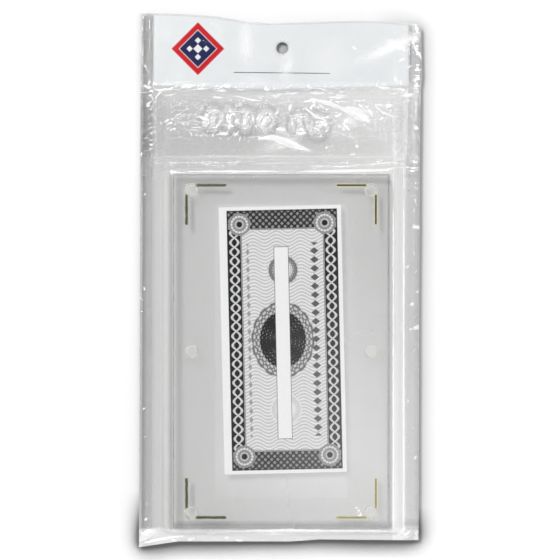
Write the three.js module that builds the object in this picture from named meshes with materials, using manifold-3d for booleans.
// A hard currency holder in its retail bag: three acrylic plates round a printed card,
// six screw-and-post fasteners and a header card between two films.
// Millimetres, +Z up. The origin is the middle of the bag's underside.
import * as THREE from "three";
import { mergeVertices } from "three/addons/utils/BufferGeometryUtils.js";
import Module from "manifold-3d";

const wasm = await Module();
wasm.setup();

// Driving dimensions

const CLEARANCE = 0.3; // between pieces that lie loose on each other

const BAG_WIDTH = 165;
const LOOSE_CORNER = 3.7; // how far the foot's left corner hangs below the foot
const LOOSE_CORNER_WIDTH = 24;
const FILM = 0.3;
const SIDE_SLOPE = 10.5; // how far the front film runs outwards as it drops to the side weld
const FOOT_SLOPE = 4.4;
const FILM_DIP = 2.6; // how far the front film sinks between holder and fasteners
const DIP_FROM_HOLDER = 7.2;
const FASTENER_ROOM = 50.7; // between the holder and the header card
const TOP_DROP = 5.6; // the top edge is this much lower on the right
const TOP_DROP_FROM = 30.5; // where the drop starts, from the left edge
const TOP_DROP_RUN = 46;
const TOP_CORNER_RADIUS = 3;

const HOLDER_WIDTH = 127;
const HOLDER_LENGTH = 208;
const HOLDER_X = 0.7; // middle of the holder, which lies loose in the bag
const HOLDER_FOOT = 8.2; // from the bag's foot to the holder's
const PLATE_CORNER_RADIUS = 1;
const EDGE_CHAMFER = 0.25;
const OUTER_PLATE = 2.9;
const CENTER_PLATE = 1.6;

const HOLE_DIAMETER = 6.8;
const HOLE_MARGIN_X = 10.5; // from the plate's edge to the hole's centre
const HOLE_MARGIN_Y = 9;
const HOLE_ROWS = 3;

const WINDOW_PLAY_X = 1.4; // between the turned card and each long side of the window
const WINDOW_PLAY_Y = 14.3; // between the turned card and the window's ends together
const WINDOW_CORNER_RADIUS = 1.5;
const CARD_WIDTH = 72;
const CARD_LENGTH = 157.2;
const CARD_THICKNESS = 0.4;
const CARD_TURN = THREE.MathUtils.degToRad(1.3);
const CARD_SIDE_PLAY = 0.5; // what is left of the play on the card's right

const LINE_LENGTH = 17.5; // the gold corner lines
const LINE_WIDTH = 1.2;
const LINE_THICKNESS = 0.1;
const LINE_FROM_HOLE = 2.6; // from the hole's centre to the line's middle, outwards
const LINE_START = 2.9; // from the hole's centre to the line's near end

const HEAD_DIAMETER = 9;
const HEAD_THICKNESS = 1.2;
const HEAD_CHAMFER = 0.3;
const BARREL_DIAMETER = 6.2;
const SHANK_DIAMETER = 4;
const SHANK_LENGTH = 5.2;
const SHANK_POINT = 0.5;
const BORE_PLAY = 0.2; // on the radius, between shank and bore
const BORE_PAST_SHANK = 0.8;
const SLOT_WIDTH = 1.2;
const SLOT_DEPTH = 0.55;
const UNSCREW_TRAVEL = 4.5;

const HEADER_WIDTH = 151;
const HEADER_LENGTH = 44.5;
const HEADER_THICKNESS = 0.4;
const HEADER_X = 0.8;
const HEADER_TOP_MARGIN = 0.6;
const HEADER_FOOT_BOW = 2; // the card's foot is this much lower in the middle than at its ends
const HEADER_SLOPE = 2.5;
const HANG_HOLE_DIAMETER = 7;
const HANG_HOLE_FROM_TOP = 20.7;
const HANG_HOLE_X = 1.4;

// How the six fasteners lie in a row, left to right: the free space before each one, the
// height of its middle above the holder, and how far its axis is turned from +Y, in degrees.
const FIRST_FASTENER_X = -43.6;
const FASTENERS = [
  { before: 0, above: 32, turn: 0 },
  { before: 0.4, above: 32, turn: 0 },
  { before: 0.4, above: 31.5, turn: 0 },
  { before: 0.4, above: 31, turn: -45 },
  { before: 8.2, above: 29, turn: 7 },
  { before: 0.5, above: 28, turn: -6 },
];

const ROUND_SEGMENTS = 24;

// Places worked out from the dimensions

const bagLength =
  LOOSE_CORNER + HOLDER_FOOT + HOLDER_LENGTH + FASTENER_ROOM + HEADER_LENGTH + HEADER_TOP_MARGIN;
const bagFoot = -bagLength / 2 + LOOSE_CORNER;
const holderY = bagFoot + HOLDER_FOOT + HOLDER_LENGTH / 2;
const holderTop = holderY + HOLDER_LENGTH / 2;
const backPlateZ = FILM + CLEARANCE;
const centerPlateZ = backPlateZ + OUTER_PLATE + CLEARANCE;
const frontPlateZ = centerPlateZ + CENTER_PLATE + CLEARANCE;
const holderHeight = frontPlateZ + OUTER_PLATE;
const stackHeight = holderHeight - backPlateZ; // what a fastener clamps
const fastenerLength = stackHeight + 2 * HEAD_THICKNESS;
const holeReachX = HOLDER_WIDTH / 2 - HOLE_MARGIN_X;
const holeReachY = HOLDER_LENGTH / 2 - HOLE_MARGIN_Y;
const windowWidth =
  CARD_WIDTH * Math.cos(CARD_TURN) + CARD_LENGTH * Math.sin(CARD_TURN) + 2 * WINDOW_PLAY_X;
const turnedCardLength = CARD_LENGTH * Math.cos(CARD_TURN) + CARD_WIDTH * Math.sin(CARD_TURN);
const windowLength = turnedCardLength + WINDOW_PLAY_Y;
const headerFoot = holderTop + FASTENER_ROOM;

// Materials

const plastic = (color, opacity, roughness) =>
  new THREE.MeshStandardMaterial({ color, opacity, roughness, metalness: 0, transparent: opacity < 1 });
const acrylic = () => plastic(0xe4e8e2, 0.35, 0.05);
const film = () => plastic(0xdfe2e2, 0.3, 0.15);
const fastenerPlastic = () => plastic(0xe6eaea, 0.4, 0.1);
const whiteCard = () => plastic(0xf2f3f1, 1, 0.6);
const printedCard = () => plastic(0xd9dbd8, 1, 0.7);
const goldFoil = () => new THREE.MeshStandardMaterial({ color: 0xa8964a, roughness: 0.3, metalness: 1 });

// Solids for joining and cutting

function solidOf(geometry) {
  const bare = new THREE.BufferGeometry();
  const flat = geometry.index ? geometry.toNonIndexed() : geometry;
  bare.setAttribute("position", flat.getAttribute("position"));
  const merged = mergeVertices(bare, 1e-4);
  return new wasm.Manifold(
    new wasm.Mesh({
      numProp: 3,
      vertProperties: merged.attributes.position.array,
      triVerts: new Uint32Array(merged.index.array),
    }),
  );
}

function geometryOf(solid) {
  const made = solid.getMesh();
  const geometry = new THREE.BufferGeometry();
  geometry.setAttribute("position", new THREE.BufferAttribute(new Float32Array(made.vertProperties), 3));
  geometry.setIndex(new THREE.BufferAttribute(new Uint32Array(made.triVerts), 1));
  geometry.computeVertexNormals();
  return geometry;
}

function meshOf(name, geometry, material) {
  const mesh = new THREE.Mesh(geometry, material);
  mesh.name = name;
  return mesh;
}

// Outlines

function roundedRectangle(path, width, length, radius) {
  const x = width / 2;
  const y = length / 2;
  path.moveTo(-x + radius, -y);
  path.lineTo(x - radius, -y);
  path.absarc(x - radius, -y + radius, radius, -Math.PI / 2, 0);
  path.lineTo(x, y - radius);
  path.absarc(x - radius, y - radius, radius, 0, Math.PI / 2);
  path.lineTo(-x + radius, y);
  path.absarc(-x + radius, y - radius, radius, Math.PI / 2, Math.PI);
  path.lineTo(-x, -y + radius);
  path.absarc(-x + radius, -y + radius, radius, Math.PI, Math.PI * 1.5);
  return path;
}

// The top edge of the bag, or of the card when it lies a margin lower: it drops to the
// right along an S and ends in a round corner. The outline runs from right to left.
function addTopEdge(outline, left, right, margin) {
  const high = bagLength / 2 - margin;
  const low = high - TOP_DROP;
  const dropX = -BAG_WIDTH / 2 + TOP_DROP_FROM;
  const dropMiddle = dropX + TOP_DROP_RUN / 2;
  const radius = TOP_CORNER_RADIUS;
  outline.lineTo(right, low - radius);
  outline.absarc(right - radius, low - radius, radius, 0, Math.PI / 2);
  outline.lineTo(dropX + TOP_DROP_RUN, low);
  outline.bezierCurveTo(dropMiddle, low, dropMiddle, high, dropX, high);
  outline.lineTo(left, high);
  outline.closePath();
  return outline;
}

function bagOutline() {
  const x = BAG_WIDTH / 2;
  const outline = new THREE.Shape();
  outline.moveTo(-x, bagFoot - LOOSE_CORNER);
  outline.lineTo(-x + LOOSE_CORNER_WIDTH, bagFoot);
  outline.lineTo(x, bagFoot);
  return addTopEdge(outline, -x, x, 0);
}

function headerOutline() {
  const left = HEADER_X - HEADER_WIDTH / 2;
  const right = left + HEADER_WIDTH;
  const outline = new THREE.Shape();
  outline.moveTo(left, headerFoot + HEADER_FOOT_BOW);
  outline.quadraticCurveTo(HEADER_X, headerFoot - HEADER_FOOT_BOW, right, headerFoot + HEADER_FOOT_BOW);
  return addTopEdge(outline, left, right, HEADER_TOP_MARGIN);
}

function hangHole() {
  const height = 10 * FILM + HEADER_THICKNESS;
  const hole = new THREE.CylinderGeometry(
    HANG_HOLE_DIAMETER / 2,
    HANG_HOLE_DIAMETER / 2,
    2 * height,
    ROUND_SEGMENTS,
  );
  hole.rotateX(Math.PI / 2);
  hole.translate(HANG_HOLE_X, bagLength / 2 - HANG_HOLE_FROM_TOP, 0);
  return solidOf(hole);
}

// The bag

function backFilm() {
  const sheet = new THREE.ExtrudeGeometry(bagOutline(), { depth: FILM, bevelEnabled: false });
  return meshOf("bag_back_film", geometryOf(solidOf(sheet).subtract(hangHole())), film());
}

// The straight line through [place, value] pairs, level past both ends.
function alongLine(points, at) {
  if (at <= points[0][0]) return points[0][1];
  for (let i = 1; i < points.length; i += 1) {
    const [a, low] = points[i - 1];
    const [b, high] = points[i];
    if (at <= b) return low + ((high - low) * (at - a)) / (b - a);
  }
  return points[points.length - 1][1];
}

// The front film's underside rises from the weld over the holder, dips, passes over the
// fasteners with room for them to be unscrewed, and lies flat on the card.
const overHolder = holderHeight + CLEARANCE;
const overFasteners = FILM + 2 * CLEARANCE + HEAD_DIAMETER;
const overCard = FILM + 2 * CLEARANCE + HEADER_THICKNESS;
const fastenerReach = fastenerLength / 2 + UNSCREW_TRAVEL + 2 * CLEARANCE;
const lowestFastener = Math.min(...FASTENERS.map((f) => f.above)) - fastenerReach;
const highestFastener = Math.max(...FASTENERS.map((f) => f.above)) + fastenerReach;

const risesAlongY = [
  [-bagLength / 2, FILM],
  [holderTop - HOLDER_LENGTH - CLEARANCE - FOOT_SLOPE, FILM],
  [holderTop - HOLDER_LENGTH - CLEARANCE, overHolder],
  [holderTop + CLEARANCE, overHolder],
  [holderTop + DIP_FROM_HOLDER, overHolder - FILM_DIP],
  [holderTop + lowestFastener, overFasteners],
  [holderTop + highestFastener, overFasteners],
  [headerFoot - CLEARANCE, overCard],
  [bagLength / 2, overCard],
];
const acrossHolder = [
  [HOLDER_X - HOLDER_WIDTH / 2 - CLEARANCE - SIDE_SLOPE, 0],
  [HOLDER_X - HOLDER_WIDTH / 2 - CLEARANCE, 1],
  [HOLDER_X + HOLDER_WIDTH / 2 + CLEARANCE, 1],
  [HOLDER_X + HOLDER_WIDTH / 2 + CLEARANCE + SIDE_SLOPE, 0],
];
const acrossCard = [
  [HEADER_X - HEADER_WIDTH / 2 - CLEARANCE - HEADER_SLOPE, 0],
  [HEADER_X - HEADER_WIDTH / 2 - CLEARANCE, 1],
  [HEADER_X + HEADER_WIDTH / 2 + CLEARANCE, 1],
  [HEADER_X + HEADER_WIDTH / 2 + CLEARANCE + HEADER_SLOPE, 0],
];

function filmHeight(x, y) {
  const overContents = FILM + (alongLine(risesAlongY, y) - FILM) * alongLine(acrossHolder, x);
  if (y < headerFoot - CLEARANCE) return overContents;
  return Math.max(overContents, FILM + (overCard - FILM) * alongLine(acrossCard, x));
}

// A sheet of even thickness over a grid whose lines are the film's folds.
function sheetSolid(xs, ys, heightAt, thickness) {
  const positions = [];
  for (const lift of [0, thickness]) {
    for (const y of ys) {
      for (const x of xs) positions.push(x, y, heightAt(x, y) + lift);
    }
  }
  const columns = xs.length;
  const layer = columns * ys.length;
  const index = [];
  const quad = (a, b, c, d) => index.push(a, b, c, a, c, d);
  for (let j = 0; j + 1 < ys.length; j += 1) {
    for (let i = 0; i + 1 < columns; i += 1) {
      const a = j * columns + i;
      quad(layer + a, layer + a + 1, layer + a + columns + 1, layer + a + columns);
      quad(a, a + columns, a + columns + 1, a + 1);
    }
  }
  const last = (ys.length - 1) * columns;
  for (let i = 0; i + 1 < columns; i += 1) {
    quad(i, i + 1, layer + i + 1, layer + i);
    quad(last + i + 1, last + i, layer + last + i, layer + last + i + 1);
  }
  for (let j = 0; j + 1 < ys.length; j += 1) {
    const left = j * columns;
    const right = left + columns - 1;
    quad(left + columns, left, layer + left, layer + left + columns);
    quad(right, right + columns, layer + right + columns, layer + right);
  }
  const geometry = new THREE.BufferGeometry();
  geometry.setAttribute("position", new THREE.Float32BufferAttribute(positions, 3));
  geometry.setIndex(index);
  return geometry;
}

function frontFilm() {
  const ascending = (a, b) => a - b;
  const folds = [...acrossHolder, ...acrossCard].map(([x]) => x);
  const xs = [-BAG_WIDTH / 2, ...folds, BAG_WIDTH / 2].sort(ascending);
  const ys = risesAlongY.map(([y]) => y);
  const sheet = solidOf(sheetSolid(xs, ys, filmHeight, FILM));
  const prism = new THREE.ExtrudeGeometry(bagOutline(), {
    depth: overFasteners + 2 * FILM,
    bevelEnabled: false,
  });
  const cut = sheet.intersect(solidOf(prism)).subtract(hangHole());
  return meshOf("bag_front_film", geometryOf(cut), film());
}

function headerCard() {
  const card = new THREE.ExtrudeGeometry(headerOutline(), { depth: HEADER_THICKNESS, bevelEnabled: false });
  card.translate(0, 0, FILM + CLEARANCE);
  return meshOf("header_card", geometryOf(solidOf(card).subtract(hangHole())), whiteCard());
}

// The holder

// Every hole's centre from the middle of the plate, with the side and end that it is on.
const holes = [];
for (const side of [-1, 1]) {
  for (let row = 0; row < HOLE_ROWS; row += 1) {
    const end = (2 * row) / (HOLE_ROWS - 1) - 1;
    holes.push({ side, end, x: side * holeReachX, y: end * holeReachY });
  }
}

function plateGeometry(thickness, windowSize) {
  const shape = roundedRectangle(new THREE.Shape(), HOLDER_WIDTH, HOLDER_LENGTH, PLATE_CORNER_RADIUS);
  for (const { x, y } of holes) {
    const hole = new THREE.Path();
    hole.absarc(x, y, HOLE_DIAMETER / 2, 0, 2 * Math.PI, true);
    shape.holes.push(hole);
  }
  if (windowSize) {
    shape.holes.push(roundedRectangle(new THREE.Path(), ...windowSize, WINDOW_CORNER_RADIUS));
  }
  const geometry = new THREE.ExtrudeGeometry(shape, {
    depth: thickness - 2 * EDGE_CHAMFER,
    bevelThickness: EDGE_CHAMFER,
    bevelSize: EDGE_CHAMFER,
    bevelOffset: -EDGE_CHAMFER,
    bevelSegments: 1,
    curveSegments: ROUND_SEGMENTS / 2,
  });
  geometry.translate(0, 0, EDGE_CHAMFER);
  return geometry;
}

function plate(name, thickness, z, windowSize) {
  const mesh = meshOf(name, plateGeometry(thickness, windowSize), acrylic());
  mesh.position.z = z;
  return mesh;
}

// The printed card has slid to the top end of the window, and towards its right side.
function noteInsert() {
  const mesh = meshOf(
    "note_insert",
    new THREE.BoxGeometry(CARD_WIDTH, CARD_LENGTH, CARD_THICKNESS),
    printedCard(),
  );
  const cardX = WINDOW_PLAY_X - CARD_SIDE_PLAY;
  const cardY = (windowLength - turnedCardLength) / 2 - CLEARANCE;
  mesh.position.set(cardX, cardY, centerPlateZ + CARD_THICKNESS / 2);
  mesh.rotation.z = CARD_TURN;
  return mesh;
}

// Two foil lines run from each corner hole towards the middle of the plate's sides.
function cornerLines() {
  const lines = new THREE.Group();
  const middle = LINE_START + LINE_LENGTH / 2;
  for (const { side, end, x, y } of holes) {
    if (Math.abs(end) < 1) continue;
    const corner = (end > 0 ? "top_" : "foot_") + (side < 0 ? "left" : "right");
    const across = meshOf(
      "line_" + corner + "_across",
      new THREE.BoxGeometry(LINE_LENGTH, LINE_WIDTH, LINE_THICKNESS),
      goldFoil(),
    );
    across.position.set(x - side * middle, y + end * LINE_FROM_HOLE, 0);
    const down = meshOf(
      "line_" + corner + "_down",
      new THREE.BoxGeometry(LINE_WIDTH, LINE_LENGTH, LINE_THICKNESS),
      goldFoil(),
    );
    down.position.set(x + side * LINE_FROM_HOLE, y - end * middle, 0);
    lines.add(across, down);
  }
  lines.position.z = centerPlateZ + CENTER_PLATE + LINE_THICKNESS / 2;
  return lines;
}

function holder() {
  const group = new THREE.Group();
  group.add(
    plate("back_plate", OUTER_PLATE, backPlateZ),
    plate("center_plate", CENTER_PLATE, centerPlateZ, [windowWidth, windowLength]),
    plate("front_plate", OUTER_PLATE, frontPlateZ),
    noteInsert(),
    cornerLines(),
  );
  group.position.set(HOLDER_X, holderY, 0);
  return group;
}

// The fasteners, each made along +Y with the middle of its clamped length at the origin

function headProfile(radius, thickness, chamfer) {
  return [
    [0, 0],
    [radius - chamfer, 0],
    [radius, chamfer],
    [radius, thickness - chamfer],
    [radius - chamfer, thickness],
  ];
}

function turned(profile) {
  return new THREE.LatheGeometry(
    profile.map(([r, y]) => new THREE.Vector2(r, y)),
    ROUND_SEGMENTS,
  );
}

function postGeometry() {
  const barrelEnd = HEAD_THICKNESS + stackHeight - CLEARANCE;
  const boreRadius = SHANK_DIAMETER / 2 + BORE_PLAY;
  const boreEnd = HEAD_THICKNESS + stackHeight - SHANK_LENGTH - BORE_PAST_SHANK;
  const post = turned([
    ...headProfile(HEAD_DIAMETER / 2, HEAD_THICKNESS, HEAD_CHAMFER),
    [BARREL_DIAMETER / 2, HEAD_THICKNESS],
    [BARREL_DIAMETER / 2, barrelEnd],
    [boreRadius, barrelEnd],
    [boreRadius, boreEnd],
    [0, boreEnd],
  ]);
  post.translate(0, -fastenerLength / 2, 0);
  return post;
}

function screwGeometry() {
  const shankEnd = HEAD_THICKNESS + SHANK_LENGTH;
  const screw = turned([
    ...headProfile(HEAD_DIAMETER / 2, HEAD_THICKNESS, HEAD_CHAMFER),
    [SHANK_DIAMETER / 2, HEAD_THICKNESS],
    [SHANK_DIAMETER / 2, shankEnd - SHANK_POINT],
    [SHANK_DIAMETER / 2 - SHANK_POINT, shankEnd],
    [0, shankEnd],
  ]);
  const slot = new THREE.BoxGeometry(2 * HEAD_DIAMETER, 2 * SLOT_DEPTH, SLOT_WIDTH);
  const cut = geometryOf(solidOf(screw).subtract(solidOf(slot)));
  cut.rotateZ(Math.PI);
  cut.translate(0, fastenerLength / 2, 0);
  return cut;
}

function fasteners() {
  const group = new THREE.Group();
  let left = FIRST_FASTENER_X;
  FASTENERS.forEach(({ before, above, turn }, i) => {
    const angle = THREE.MathUtils.degToRad(turn);
    const halfWidth =
      (fastenerLength * Math.abs(Math.sin(angle)) + HEAD_DIAMETER * Math.cos(angle)) / 2;
    const pair = new THREE.Group();
    pair.add(
      meshOf("post_" + (i + 1), postGeometry(), fastenerPlastic()),
      meshOf("screw_" + (i + 1), screwGeometry(), fastenerPlastic()),
    );
    pair.position.set(
      left + before + halfWidth,
      holderTop + above,
      FILM + CLEARANCE + HEAD_DIAMETER / 2,
    );
    pair.rotation.z = angle;
    group.add(pair);
    left += before + 2 * halfWidth;
  });
  return group;
}

const pack = new THREE.Group();
pack.add(backFilm(), frontFilm(), headerCard(), holder(), fasteners());

export default pack;
